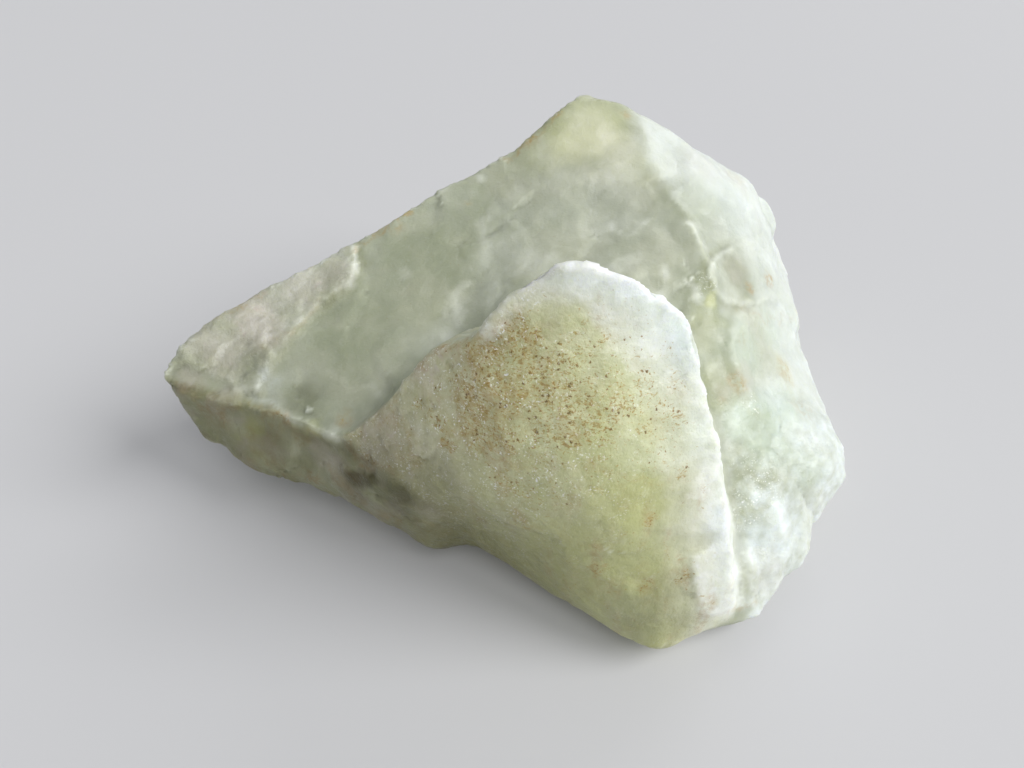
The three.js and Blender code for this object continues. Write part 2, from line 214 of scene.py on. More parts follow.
# ---- Lobes, dents and bumps: pixel across and down, and radius and rise in millimetres ----
LOBES = [
    (712, 185, 5, 0.4), (757, 218, 4.2, 0.6), (788, 303, 3.4, 0.6), (812, 455, 5.5, 0.9),
    (757, 418, 3.2, 0.35), (772, 505, 5, 0.9), (748, 580, 4.2, 0.7), (660, 145, 4.5, 0.2),
    (798, 545, 3.8, 0.7), (771, 212, 2.4, 0.7),
]
SIDE_DENTS = [
    (783, 242, 2.2, -0.5), (802, 340, 2.6, -0.7), (814, 530, 2.6, -0.5), (757, 428, 1.8, -0.25),
    (722, 440, 1.6, -0.3),
]
CREST_BUMPS = [
    (573, 262, 2, 0.18), (657, 292, 1.3, -0.4), (691, 319, 1.6, 0.6), (636, 277, 1.4, 0.25),
    (606, 270, 1.2, -0.2), (540, 275, 2, -0.3), (520, 288, 1.8, -0.3), (503, 305, 1.3, 0.2),
    (715, 420, 1.6, -0.2),
]

# ---- Patches: pixel across and down, radius in millimetres, and amount ----
CALM_PLACES = [(592, 135, 5.5, 0.4), (620, 170, 4, 0.2)]
MILK_AND_LIGHT_PLACES = [
    # On the slope, where those beside the tooth are painted light in the shadow that it casts
    (285, 412, 0.7, 0.4), (300, 398, 2, -0.25), (303, 426, 0.7, 0.15), (312, 412, 3, -0.12),
    (333, 432, 0.8, 0.25), (350, 380, 3, -0.1), (355, 325, 4.5, -0.12), (406, 272, 0.8, 0.25),
    (420, 250, 4, -0.12), (425, 300, 3.6, -0.14), (450, 336, 3.2, 0.28), (455, 300, 1.6, 0.2),
    (478, 178, 0.7, 0.3), (488, 298, 3.2, 0.26), (500, 262, 3.8, 0.26), (505, 235, 3.6, 0.16),
    (530, 200, 3.6, 0.1), (535, 262, 2.6, 0.24), (545, 155, 5, 0.26), (545, 230, 4, 0.14),
    (555, 256, 0.9, 0.25), (585, 195, 4.5, 0.12), (590, 128, 3.6, 0.48), (600, 235, 4, 0.12),
    (612, 228, 0.8, 0.25), (620, 150, 3, 0.25), (628, 165, 5, 0.26), (645, 215, 4, 0.16),
    (648, 222, 0.7, 0.3), (650, 190, 2.4, -0.1), (664, 275, 0.9, 0.25), (690, 225, 1.6, 0.25),
    # On the flaky band
    (196, 370, 3.2, -0.3), (215, 345, 2, 0.15), (235, 345, 3, -0.12), (236, 352, 2, 0.2),
    (240, 375, 3, -0.2), (240, 378, 2, 0.1), (255, 320, 2.6, 0.25), (262, 332, 2.4, 0.2),
    (264, 358, 3.2, -0.2), (265, 380, 2, 0.2), (285, 300, 2, 0.15), (300, 278, 2.4, 0.2),
    (330, 264, 2, 0.06), (352, 266, 1.1, 0.3),
    # Under the left tip
    (325, 455, 1.6, 0.25),
    # On the front face
    (395, 415, 3, 0.14), (420, 430, 1.2, 0.15), (430, 512, 1.6, 0.25), (470, 500, 2, 0.1),
    (500, 318, 1.4, 0.25), (500, 520, 3, 0.1), (530, 290, 1.8, 0.45), (560, 280, 2, 0.5),
    (574, 312, 1.6, -0.2), (595, 278, 2.2, 0.5), (602, 455, 3.6, -0.14), (618, 290, 3.2, 0.8),
    (620, 405, 2.8, -0.1), (638, 494, 3.6, -0.3), (648, 578, 0.5, 0.6), (655, 325, 4.5, 0.35),
    (655, 435, 3.6, -0.1), (660, 550, 4, -0.08), (722, 478, 1.4, -0.15),
    # On the right side
    (700, 175, 4, 0.1), (700, 298, 0.7, 0.3), (712, 299, 0.8, -0.35), (716, 350, 2.2, -0.2),
    (718, 292, 2, -0.14), (733, 428, 0.8, 0.3), (735, 185, 4, 0.1), (737, 275, 2.8, -0.44),
    (737, 502, 0.8, 0.3), (741, 413, 1.3, 0.4), (742, 502, 2.4, -0.1), (743, 402, 1.4, 0.25),
    (745, 560, 3, 0.15), (746, 486, 1.1, 0.4), (747, 457, 1.8, -0.14), (750, 490, 3.4, -0.14),
    (752, 404, 0.9, 0.3), (757, 425, 2.2, -0.1), (757, 498, 1, 0.35), (760, 345, 3.6, -0.14),
    (762, 428, 2, -0.14), (767, 489, 0.8, 0.35), (768, 392, 3, 0.2), (768, 525, 4.5, 0.35),
    (771, 506, 1.2, 0.35), (785, 372, 2, -0.1), (790, 430, 3.6, 0.2),
]
COOL_PLACES = [
    (655, 315, 5, 0.3), (690, 350, 3, 0.3), (615, 288, 3, 0.2), (565, 278, 2.4, 0.2),
    (715, 440, 3, 0.2), (728, 520, 3, 0.3), (820, 450, 4.5, 0.6), (770, 530, 5, 0.6),
    (735, 215, 3.5, 0.4), (765, 410, 3, 0.4), (736, 275, 2.4, 0.3), (270, 385, 3, 0.5),
    (760, 345, 4, -0.3), (790, 440, 6, 0.3), (765, 480, 5, 0.3), (595, 145, 6, -0.4),
    (655, 430, 5, 0.1), (500, 400, 5, -0.1),
]
WARM_PLACES = [
    (590, 380, 6.5, 0.35), (600, 480, 6, 0.3), (590, 128, 5, 0.64), (545, 150, 4, 0.4),
    (640, 165, 3, 0.3), (620, 580, 6, 0.05), (712, 299, 0.9, 0.5), (735, 180, 3, 0.2),
    (600, 300, 1, 0.4), (735, 590, 3, 0.3), (650, 370, 4, -0.25), (660, 545, 4, -0.15),
    (635, 612, 4, -0.3), (420, 482, 3, 0.5), (255, 440, 3, 0.4), (786, 370, 2.2, 0.3),
    (445, 400, 4, 0.3), (310, 430, 1.4, 0.5),
]
MINT_PLACES = [
    (765, 428, 4.5, 0.9), (790, 405, 3, 0.6), (745, 345, 3.6, 0.7), (770, 330, 3, 0.5),
    (735, 415, 2.4, 0.5), (650, 350, 5, 0.2), (700, 200, 3, 0.2), (690, 440, 3, 0.3),
    (715, 350, 2.6, 0.3), (640, 455, 3, 0.25), (800, 470, 3, 0.5),
]
PINK_PLACES = [
    (300, 290, 3, 0.5), (250, 308, 3, 0.5), (205, 340, 2.2, 0.4), (785, 255, 2.6, 0.3),
    (700, 165, 3, 0.3), (378, 440, 3.6, 0.75), (262, 330, 3.4, 0.7), (225, 358, 2.6, 0.5),
    (425, 372, 2, 0.5), (335, 275, 2.4, 0.4), (440, 349, 1.2, 0.7), (495, 455, 1.6, 0.3),
    (190, 385, 2, 0.6), (225, 398, 1.8, 0.6), (325, 455, 2.2, 0.7), (430, 512, 2.2, 0.5),
    (735, 272, 2.6, 0.35), (735, 180, 2.4, 0.3), (725, 396, 1.2, 0.4), (745, 375, 1.6, 0.3),
    (765, 570, 3, 0.3), (600, 310, 1, 0.2),
]
STAIN_PLACES = [
    # On the slope
    (283, 418, 1, 0.9), (345, 421, 1.2, 0.6), (395, 224, 1.6, 0.5), (466, 204, 0.7, 0.4),
    (528, 137, 1.8, 0.5), (556, 112, 1.2, 0.4), (625, 113, 0.9, 0.5), (722, 402, 0.9, 0.3),
    # Under the left tip
    (215, 415, 2.2, 0.5), (252, 435, 0.7, 0.5), (312, 478, 1.4, 1), (355, 475, 0.9, 0.9),
    # On the front face
    (370, 460, 1.2, 1), (430, 405, 2, 0.3), (447, 446, 1.2, 0.7), (462, 403, 1.6, 0.5),
    (470, 420, 3, 0.4), (479, 349, 1.8, 1), (480, 440, 3, 0.55), (495, 395, 4.2, 0.6),
    (505, 450, 2.4, 0.4), (510, 335, 2.6, 0.6), (540, 345, 3, 0.3), (548, 400, 3.6, 0.3),
    (574, 438, 1.4, 0.5), (598, 569, 0.7, 0.8), (605, 400, 2.4, 0.2), (646, 583, 0.8, 0.5),
    (650, 517, 0.8, 0.5), (682, 388, 1.6, 0.2), (684, 578, 1, 0.5),
    # On the right side
    (735, 175, 1.6, 0.2), (737, 382, 1.2, 0.8), (741, 340, 1.2, 0.3), (747, 289, 0.9, 0.8),
    (768, 279, 1.1, 1), (786, 377, 1.6, 0.25), (787, 370, 1.8, 0.45), (800, 410, 2, 0.3),
]
# Painted shade, with a few dark patches; a negative amount lightens.
SHADE_AND_DARK_PLACES = [
    # On the slope
    (168, 378, 1.4, 0.15), (188, 372, 3, 0.08), (303, 398, 2.2, 0.16), (312, 392, 2, 0.15),
    # On the flaky band
    (240, 345, 4, 0.07),
    # Under the left tip
    (270, 445, 2.4, 0.12), (295, 452, 1.6, -0.1), (330, 466, 1.4, -0.12), (350, 448, 1.6, 0.2),
    (353, 475, 1.4, 0.36), (358, 493, 2.2, 0.14), (363, 477, 1.4, 0.3), (372, 477, 1.3, 0.3),
    # On the front face
    (400, 490, 1.8, 0.12), (400, 500, 3.4, 0.13), (425, 515, 2, -0.12), (435, 480, 2.8, 0.09),
    (452, 472, 3.6, 0.08), (655, 622, 4.5, 0.2), (668, 585, 2.8, 0.2), (692, 625, 2.6, 0.16),
    (731, 576, 2.2, 0.06),
    # On the right side
    (717, 348, 2.6, 0.14), (722, 385, 2.2, 0.1), (735, 275, 2.4, 0.07),
]
SUGAR_PLACES = [
    (458, 450, 2.4, 0.5), (450, 365, 2, 0.5), (500, 480, 2, 0.3), (560, 268, 1.6, 0.3),
    (540, 475, 3.2, 0.35), (600, 500, 3.2, 0.25), (755, 490, 3.6, 0.5), (750, 405, 1.8, 0.6),
    (708, 285, 2, 0.7), (735, 520, 2, 0.6), (475, 545, 3, 0.2), (470, 350, 1.4, 0.6),
    (474, 377, 1.6, 0.6), (505, 405, 1.6, 0.6), (513, 460, 1.8, 0.6),
]
FLECK_PLACES = [
    (515, 330, 1.6, 0.9), (530, 338, 1.4, 0.7), (480, 349, 1.4, 1), (500, 345, 1.6, 0.8),
    (475, 399, 1.8, 0.7), (462, 403, 1.4, 0.7), (507, 403, 1.6, 0.8), (535, 392, 1, 1),
    (507, 440, 1.8, 0.7), (477, 437, 2, 0.7), (447, 446, 1, 0.9), (574, 440, 1, 1),
    (572, 422, 1.4, 0.7), (623, 407, 1.2, 0.9), (604, 338, 0.6, 0.8), (585, 322, 1.2, 0.35),
    (548, 382, 2.2, 0.6), (643, 379, 1.2, 0.5), (679, 381, 1, 0.5), (697, 373, 0.7, 0.6),
    (677, 422, 1.6, 0.6), (686, 474, 0.8, 0.7), (643, 433, 1, 0.5), (649, 517, 0.9, 0.5),
    (595, 569, 0.7, 0.7), (645, 584, 0.8, 0.5), (683, 578, 0.8, 0.5), (520, 365, 3, 0.5),
    (555, 365, 2.6, 0.3), (600, 385, 3, 0.2), (420, 405, 1, 0.6), (438, 385, 1, 0.6),
    (437, 420, 1.4, 0.7), (455, 380, 1.4, 0.5), (549, 420, 2, 0.4), (655, 455, 2.4, 0.3),
    (600, 470, 2.6, 0.25), (500, 480, 2.4, 0.35), (530, 310, 1, 0.3), (545, 440, 2.4, 0.5),
    (590, 420, 2.6, 0.4), (575, 355, 2, 0.2), (640, 400, 2.6, 0.2), (480, 375, 2.4, 0.5),
    (530, 500, 2.6, 0.25), (625, 350, 2.2, 0.2), (655, 405, 2.6, 0.25), (610, 435, 2.6, 0.3),
    (580, 395, 2.2, 0.3), (590, 350, 2.2, 0.15), (545, 475, 2.6, 0.25), (570, 500, 2.4, 0.2),
    (670, 350, 2, 0.2), (615, 385, 1.4, 0.25), (560, 395, 1.6, 0.4), (625, 540, 2.4, 0.2),
    (371, 460, 0.9, 0.8),
]

# ---- Streaks: a line in the view, its width in pixels and an amount ----
STREAK_CORE = 0.3
WHITE_STREAKS = [
    ([(243, 390), (283, 413), (310, 423), (350, 443)], 5, 0.25),
    ([(210, 374), (222, 352), (243, 334)], 4, 0.24),
    ([(228, 380), (240, 356), (270, 340), (300, 318)], 5, 0.18),
    ([(354, 250), (358, 268), (350, 287)], 5, 0.35),
    ([(488, 262), (483, 228), (497, 206), (522, 190)], 9, 0.18),
    ([(464, 282), (456, 300), (459, 322)], 7, 0.22),
    ([(444, 288), (447, 312)], 6, 0.15),
    ([(676, 190), (690, 215), (700, 245)], 5, 0.2),
    ([(664, 262), (663, 292)], 5, 0.24),
    ([(692, 282), (697, 296), (705, 312)], 5, 0.35),
    ([(600, 228), (622, 233), (650, 222)], 5, 0.15),
    ([(470, 345), (474, 372), (471, 392)], 4, 0.2),
    ([(560, 250), (600, 256), (640, 262)], 6, 0.12),
    ([(330, 372), (352, 392), (372, 388)], 6, 0.12),
    ([(540, 150), (560, 172), (590, 180)], 8, 0.12),
]
GREEN_GROOVES = [
    ([(703, 262), (704, 282), (712, 298)], 7, 0.25),
    ([(706, 312), (716, 350), (724, 395)], 22, 0.62),
    ([(742, 410), (756, 420), (770, 414)], 7, 0.1),
    ([(735, 440), (760, 452), (775, 446)], 7, 0.1),
]
RUST_STREAKS = [
    ([(420, 367), (440, 351), (456, 344), (470, 341)], 3.5, 0.7),
    ([(353, 252), (373, 236), (404, 214)], 4, 0.7),
    ([(205, 325), (250, 298), (300, 268), (345, 243)], 6, 0.5),
    ([(262, 350), (290, 335), (318, 300)], 5, 0.3),
    ([(745, 308), (765, 322), (790, 318)], 4, 0.25),
    ([(500, 161), (521, 150), (545, 124), (560, 112)], 4, 0.6),
    ([(598, 290), (596, 300), (603, 312), (598, 328)], 3, 0.3),
    ([(592, 571), (606, 567)], 3, 0.9),
    ([(682, 560), (690, 590)], 5, 0.5),
    ([(345, 446), (358, 456), (372, 461), (386, 466)], 4, 0.6),
    ([(250, 407), (272, 414), (284, 420)], 4, 0.4),
    ([(180, 388), (196, 398), (208, 408)], 5, 0.4),
    ([(736, 606), (752, 600)], 5, 0.4),
    ([(590, 462), (615, 474), (650, 484), (684, 480)], 8, 0.3),
    ([(530, 455), (575, 468)], 7, 0.25),
]

# ---- Colours, and the numbers of the stone's material ----
DEEP_GREEN = (0.32, 0.35, 0.262)
PALE_GREEN = (0.42, 0.44, 0.345)
WARM_GREEN = (0.66, 0.68, 0.305)
CREAM_WHITE = (0.87, 0.87, 0.715)
MINT_WHITE = (0.86, 0.92, 0.93)
MINT_GREEN = (0.56, 0.67, 0.55)
PINK_GREY = (0.61, 0.53, 0.49)
TAN = (0.46, 0.31, 0.11)
OLIVE = (0.38, 0.38, 0.13)
# The dark colour that painted shade multiplies into the base colour.
SHADE = (0.16, 0.145, 0.05)
GLINT_WHITE = (0.95, 0.97, 0.93)
EDGE_HIGHLIGHT = (0.88, 0.92, 0.84)
FLECK_DARK = (0.12, 0.072, 0.012)
FLECK_RUST = (0.36, 0.205, 0.03)
FLECK_HALO = (0.5, 0.35, 0.08)
PREVIEW_GREEN = (0.5, 0.55, 0.4)
PREVIEW_ROUGHNESS = 0.45
BERYL_IOR = 1.57
# How far light travels inside the stone: a share of the scale in millimetres for red, green and blue.
SCATTER_RADIUS = (1.0, 1.0, 0.8)
SCATTER_SCALE = 1.3
COARSE_BUMP, FINE_BUMP = 0.3, 0.12
# How strongly an attribute or a pattern shows in the base colour.
STRENGTHS = {"warm": 0.75, "mint": 0.5, "hollow_shade": 0.15}
WISP_STRENGTH, STAIN_STRENGTH, FLECKS_IN_STAIN = 0.12, 0.75, 0.35
# Grain: size in millimetres, detail, roughness and distortion.
GRAINS = {
    "wisps": (1.3, 4, 0.6, 0.7), "blotch": (0.8, 5, 0.7, 0.6), "edge": (0.8, 2, 0.55, 0),
    "ragged": (0.15, 3, 0.7, 0), "sparkle": (0.19, 2, 0.5, 0), "mottle": (0.7, 3, 0.6, 0),
    "cluster": (1.1, 2, 0.6, 0), "roughness": (1.6, 4, 0.6, 0), "coarse": (1.5, 4, 0.62, 0),
    "fine": (0.32, 3, 0.6, 0),
}
# Ramps: the two values that a ramp starts and ends at, and what it gives there.
RAMPS = {
    "wisps": (0.5, 0.75, 0, 1), "lively": (0, 1, 1, 0.45), "veil": (0, 1, 0.85, 1.2),
    "pink": (0, 1, 0.45, 0.85), "blotch": (0.34, 0.66, 0, 1), "edge": (0.3, 0.6, 0.25, 0.65),
    "flecked": (0.02, 0.15, 0, 1), "smudge_tone": (0, 0.05, 0, 1), "ragged": (0.3, 0.7, -0.08, 0.1),
    "fleck_tone": (0.02, 0.1, 0, 1), "fleck": (-0.02, 0.04, 0, 0.85), "mottle": (0.35, 0.65, 0, 0.25),
    "cluster": (0.42, 0.62, 0.05, 1), "sparkle": (0.57, 0.67, 0, 1), "sugary": (0.2, 1, 0.05, 0.95),
    "roughness": (0.3, 0.7, 0.28, 0.58), "fine": (0, 1, 0.3, 1),
}
# Golden smudges: size in millimetres, turn, the noise level where rarest and commonest, and strength.
SMUDGES = [
    dict(size=0.24, turn=0.2, rarest=0.75, commonest=0.59, strength=0.75),
    dict(size=0.52, turn=0.9, rarest=0.76, commonest=0.6, strength=0.6),
]
SMUDGE_GRAIN = (3.0, 0.62, 0.6)
SMUDGE_STRETCH = (1.0, 1.0, 1.5)
SMUDGE_TILT, SMUDGE_ROLL = 0.3, 0.4
SMUDGE_DENSITY = (-0.2, 1.0)
SMUDGE_EDGE = (-0.06, 0.03)
# Dark flecks: spacing and largest radius in millimetres, and the share of places that one may take.
FLECKS = [
    dict(spacing=0.45, share=0.85, largest=0.125),
    dict(spacing=0.8, share=0.62, largest=0.165),
    dict(spacing=1.7, share=0.5, largest=0.2),
]
FULL_FLECK_EXCESS = 0.5

# ---- The stage: lengths in metres, angles in degrees ----
FLOOR_HALF = 4.0
FLOOR_GREY = (0.60, 0.60, 0.61)
FLOOR_ROUGHNESS = 0.7
WORLD_COLOUR = (0.92, 0.95, 1.0, 1)
WORLD_STRENGTH = 0.25
LIGHT_WIDTH = 38
# Lights: azimuth from +X towards +Y, elevation and strength.
LIGHTS = {"window": (-8, 40, 2.25), "front_fill": (-75, 55, 1.0), "back_rim": (60, 25, 0.55)}


# ---- Numbers and noise ----
def smoothstep(low, high, values):
    share = np.clip((values - low) / (high - low), 0, 1)
    return share * share * (3 - 2 * share)


def fade(name, values):
    return smoothstep(*FADES[name], values)


def mixed(first, second, share):
    return first * (1 - share) + second * share


def weighted(parts, **weights):
    """The sum of the named parts, each times its weight."""
    return sum(weight * parts[name] for name, weight in weights.items())


def noise_at(points, size, seed, octaves):
    """Fractal noise of about -1 to 1 at each point, with features about `size` across."""
    scaled = (points / size + seed * SEED_STRIDE).tolist()
    return np.array([noise.fractal(place, FRACTAL_DIMENSION, FRACTAL_GAP, octaves) for place in scaled])


def warped(points, size, amount, seed):
    shifts = [noise_at(points, size, seed + axis * AXIS_STRIDE, WARP_OCTAVES) for axis in range(3)]
    return points + amount * np.stack(shifts, 1)


def chips(points, size, seed):
    """Small tilted planes, one per cell of a jittered lattice, with narrow steps between."""
    random = np.random.default_rng(seed)
    lows, highs = points.min(0) - size, points.max(0) + size
    spans = [np.arange(low, high, size) for low, high in zip(lows, highs)]
    lattice = np.stack(np.meshgrid(*spans, indexing="ij"), -1).reshape(-1, 3)
    centres = lattice + random.uniform(-CHIP_JITTER, CHIP_JITTER, lattice.shape) * size
    tilts = random.normal(size=lattice.shape)
    tilts /= np.linalg.norm(tilts, axis=1)[:, None]
    tree = tree_of(centres, range(len(centres)))
    places = warped(points, size * CHIP_WARP_SIZE, size * CHIP_WARP, seed)
    found = [tree.find_n(place, 2) for place in places.tolist()]
    first = np.array([pair[0][1] for pair in found])
    second = np.array([pair[1][1] for pair in found])
    gap = np.array([pair[1][2] - pair[0][2] for pair in found])
    first_height = ((points - centres[first]) * tilts[first]).sum(1)
    second_height = ((points - centres[second]) * tilts[second]).sum(1)
    own = 0.5 + 0.5 * smoothstep(0, CHIP_STEP * size, gap)
    return mixed(second_height, first_height, own) / (CHIP_REACH * size)


def tree_of(points, indices):
    """A search tree of the points with these indices."""
    tree = KDTree(len(indices))
    for index in indices:
        tree.insert(points[index], int(index))
    tree.balance()
    return tree


# ---- Mesh helpers, in millimetres ----
def read(items, name, width, kind):
    """The named values of each vertex or edge, `width` of them to a row."""
    flat = np.empty(len(items) * width, kind)
    items.foreach_get(name, flat)
    return flat.reshape(-1, width)


def points_of(mesh):
    return read(mesh.vertices, "co", 3, np.float32).astype(float) / MM


def set_points(mesh, points):
    mesh.vertices.foreach_set("co", (points * MM).astype(np.float32).ravel())
    mesh.update()


def normals_of(mesh):
    return read(mesh.vertex_normals, "vector", 3, np.float32).astype(float)


def edges_of(mesh):
    return read(mesh.edges, "vertices", 2, np.int32)


def smoothed(values, edges, passes):
    """Values at the vertices, mixed half and half with the mean of their neighbours in each pass."""
    both = np.concatenate([edges, edges[:, ::-1]])
    own, neighbour = both.T
    count = np.bincount(own, minlength=len(values)).astype(float)
    columns = values.reshape(len(values), -1)
    for _ in range(passes):
        sums = [np.bincount(own, column[neighbour], len(values)) for column in columns.T]
        columns = 0.5 * columns + 0.5 * np.stack(sums, 1) / count[:, None]
    return columns.reshape(values.shape)


def in_scene(name, data):
    """A new object of the scene."""
    item = bpy.data.objects.new(name, data)
    bpy.context.scene.collection.objects.link(item)
    return item


def applied(piece):
    """The piece's mesh with its modifiers applied, in place of the old one."""
    depsgraph = bpy.context.evaluated_depsgraph_get()
    mesh = bpy.data.meshes.new_from_object(piece.evaluated_get(depsgraph))
    piece.modifiers.clear()
    piece.data = mesh
    return mesh


def sharp_edges(mesh):
    """1 for each edge whose faces meet at more than SHARP_ANGLE, else 0."""
    normals = {}
    for polygon in mesh.polygons:
        for key in polygon.edge_keys:
            normals.setdefault(key, []).append(polygon.normal)
    found = np.zeros(len(mesh.edges))
    for edge in mesh.edges:
        pair = normals.get(tuple(sorted(edge.vertices)), [])
        if len(pair) == 2 and pair[0].angle(pair[1], 0) > SHARP_ANGLE:
            found[edge.index] = 1
    return found


def refined_copy(node):
    """A finer copy of the node: welded, subdivided with its edges kept, remeshed and sharpened."""
    piece = in_scene("raw_aquamarine", node.data.copy())
    weld = piece.modifiers.new("weld", "WELD")
    weld.merge_threshold = WELD_GAP * MM
    mesh = applied(piece)
    crease = mesh.attributes.new("crease_edge", "FLOAT", "EDGE")
    crease.data.foreach_set("value", sharp_edges(mesh).astype(np.float32))
    subdivision = piece.modifiers.new("subdivision", "SUBSURF")
    subdivision.levels = 1
    subdivision.render_levels = 1
    remesh = piece.modifiers.new("remesh", "REMESH")
    remesh.mode = "VOXEL"
    remesh.voxel_size = VOXEL * MM
    mesh = applied(piece)
    mesh.materials.clear()
    edges = edges_of(mesh)
    set_points(mesh, sharpened(smoothed(points_of(mesh), edges, STAIR_PASSES), edges))
    return piece


def lifted(points):
    """0 on the flat base, up to 1 where all the detail shows."""
    return smoothstep(FLAT_BASE_HEIGHT, FULL_DETAIL_HEIGHT, points[:, 2])


def sharpened(points, edges):
    """Pushes each vertex away from its smoothed place, which makes the edges crisp again."""
    push = SHARPENING * (points - smoothed(points, edges, SHARPENING_PASSES))
    length = np.linalg.norm(push, axis=1)[:, None]
    push *= np.minimum(1, LARGEST_SHARPENING / np.maximum(length, 1e-9))
    return points + push * lifted(points)[:, None]


# ---- The view and the stone ----
def pixels_and_depth(points):
    """Where each point shows in the view, in pixels across and down, and its depth in millimetres."""
    offset = points - CAMERA_PLACE
    depth = offset @ CAMERA_FORWARD
    across = PHOTO_WIDTH / 2 + FOCAL_PIXELS * (offset @ CAMERA_RIGHT) / depth
    down = PHOTO_HEIGHT / 2 - FOCAL_PIXELS * (offset @ CAMERA_UP) / depth
    return np.stack([across, down], 1), depth


def seen_vertices(mesh, points, normals):
    """1 for each vertex in plain sight of the camera, else 0."""
    tree = BVHTree.FromPolygons(points.tolist(), [tuple(polygon.vertices) for polygon in mesh.polygons])
    starts = points + SIGHT_START * normals
    seen = ((CAMERA_PLACE - points) * normals).sum(1) > 0
    for index in np.flatnonzero(seen):
        way = Vector(CAMERA_PLACE - starts[index])
        if tree.ray_cast(starts[index], way, way.length)[0] is not None:
            seen[index] = False
    return seen.astype(float)


def distance_to_segment(places, start, end):
    along = end - start
    share = np.clip(((places - start) @ along) / (along @ along), 0, 1)
    return np.linalg.norm(places - start - share[:, None] * along, axis=1)


def distance_to_line(line, pixels):
    corners = np.array(line, float)
    return np.min([distance_to_segment(pixels, a, b) for a, b in zip(corners, corners[1:])], 0)


def depth_inside(outline, pixels):
    """Distance in pixels to the outline, positive inside it."""
    corners = np.array(outline, float)
    inside = np.zeros(len(pixels), bool)
    for start, end in zip(corners, np.roll(corners, -1, 0)):
        crosses = (start[1] > pixels[:, 1]) != (end[1] > pixels[:, 1])
        rise = (end[1] - start[1]) if end[1] != start[1] else 1
        at = start[0] + (pixels[:, 1] - start[1]) * (end[0] - start[0]) / rise
        inside ^= crosses & (pixels[:, 0] < at)
    nearest = distance_to_line(outline + outline[:1], pixels)
    return np.where(inside, nearest, -nearest)


class Stone:
    """The refined stone's vertices in millimetres, and where each one shows in the view."""

    def __init__(self, mesh):
        self.mesh = mesh
        self.points = points_of(mesh)
        self.normals = normals_of(mesh)
        self.edges = edges_of(mesh)
        self.pixels, self.depth = pixels_and_depth(self.points)
        shifts = [self.noise("ragged_across"), self.noise("ragged_down")]
        self.ragged = self.pixels + RAGGED_PIXELS * np.stack(shifts, 1)
        self.seen = smoothed(seen_vertices(mesh, self.points, self.normals), self.edges, SEEN_PASSES)
        self.partner, self.round_edge = self.carried_round()
        self.parts = region_masks(self)

    def carried_round(self):
        """For each vertex the nearest one in plain sight, and how much of its look is carried over."""
        tree = tree_of(self.points, np.flatnonzero(self.seen > PLAINLY_SEEN))
        found = [tree.find(place) for place in warped(self.points, *WARPS["carried"]).tolist()]
        partner = np.array([index for _, index, _ in found])
        gap = np.array([distance for _, _, distance in found])
        return partner, smoothed((1 - self.seen) * fade("carried", gap), self.edges, CARRY_PASSES)

    def blend(self, **weights):
        """The sum of the named region masks and shared tones, each times its weight."""
        return weighted(self.parts, **weights)

    def noise(self, name):
        return noise_at(self.points, *NOISES[name])

    def blotches(self, name):
        size, seed, octaves, low, high = BLOTCHES[name]
        return smoothstep(low, high, noise_at(self.points, size, seed, octaves))

    def across(self, name):
        return fade(name, self.pixels[:, 0])

    def down(self, name):
        return fade(name, self.pixels[:, 1])

    def near(self, name, line):
        return fade(name, distance_to_line(line, self.pixels))

    def nearest_seen(self, across, down):
        """The vertex in plain sight that is nearest to a pixel."""
        reach = np.linalg.norm(self.pixels - (across, down), axis=1)
        return self.points[np.argmin(reach + PHOTO_WIDTH * (self.seen < HALF_SEEN))]

    def around(self, places, warp):
        """For each place: how far each vertex is from it, as a share of its radius, and its amount."""
        bent = warped(self.points, *WARPS[warp])
        for across, down, radius, amount in places:
            yield np.linalg.norm(bent - self.nearest_seen(across, down), axis=1) / radius, amount

    def standing_out(self, passes):
        """How far each vertex stands out of its smoothed surroundings, in millimetres."""
        return ((self.points - smoothed(self.points, self.edges, passes)) * self.normals).sum(1)


def region_masks(stone):
    """A soft 0 to 1 mask for each face seen in the view, and `hidden` for the rest."""
    def inside(name, outline, pixels):
        return fade(name, depth_inside(outline, pixels))
    seen, ragged = stone.seen, stone.ragged
    in_corner = (stone.pixels[:, 0] < TOOTH_CORNER[0]) & (stone.pixels[:, 1] > TOOTH_CORNER[1])
    nearness = np.maximum(fade("nearness", stone.depth), in_corner)
    under = seen * inside("under", UNDER_FACE, ragged) * stone.across("under_end")
    tooth = nearness * seen * inside("tooth", TOOTH_FACE, ragged) * (1 - under)
    cheek_share = inside("cheek", CHEEK_SIDE, ragged)
    masks = {
        "front": tooth * (1 - cheek_share),
        "cheek": tooth * cheek_share,
        "under": under,
        "side": (1 - nearness) * seen * inside("side", RIGHT_SIDE, ragged),
    }
    masks["slope"] = seen * np.clip(1 - sum(masks.values()), 0, 1)
    masks["band"] = seen * inside("band", FLAKY_BAND, ragged)
    masks["strip"] = seen * inside("strip", CORNER_STRIP, stone.pixels)
    masks["grainy"] = masks["side"] * stone.down("grainy")
    masks["crest"] = masks["front"] * stone.near("crest", CREST_LINE)
    for name, mask in masks.items():
        carried = smoothed(mask[stone.partner], stone.edges, CARRY_PASSES)
        masks[name] = mask + stone.round_edge * carried
    masks["hidden"] = np.clip(1 - seen - stone.round_edge, 0, 1)
    return masks


# ---- Fracture detail: heights in millimetres along the normal ----
def plate_parts(stone, plates):
    """For each plate: how much a vertex is inside it, how many pixels from its lip, and the plate."""
    places = 0.5 * (stone.pixels + stone.ragged)
    for plate in plates:
        depth = depth_inside(plate["lip"] + plate["rest"], places)
        inside = smoothstep(-plate["soft"], plate["soft"], depth) * stone.seen
        yield inside, distance_to_line(plate["lip"], places), plate


def risen(stone, plates):
    """Each plate's rise, full along its lip and fading away behind it."""
    return sum(plate["rise"] * inside * smoothstep(plate["fade"], 0, away)
               for inside, away, plate in plate_parts(stone, plates))


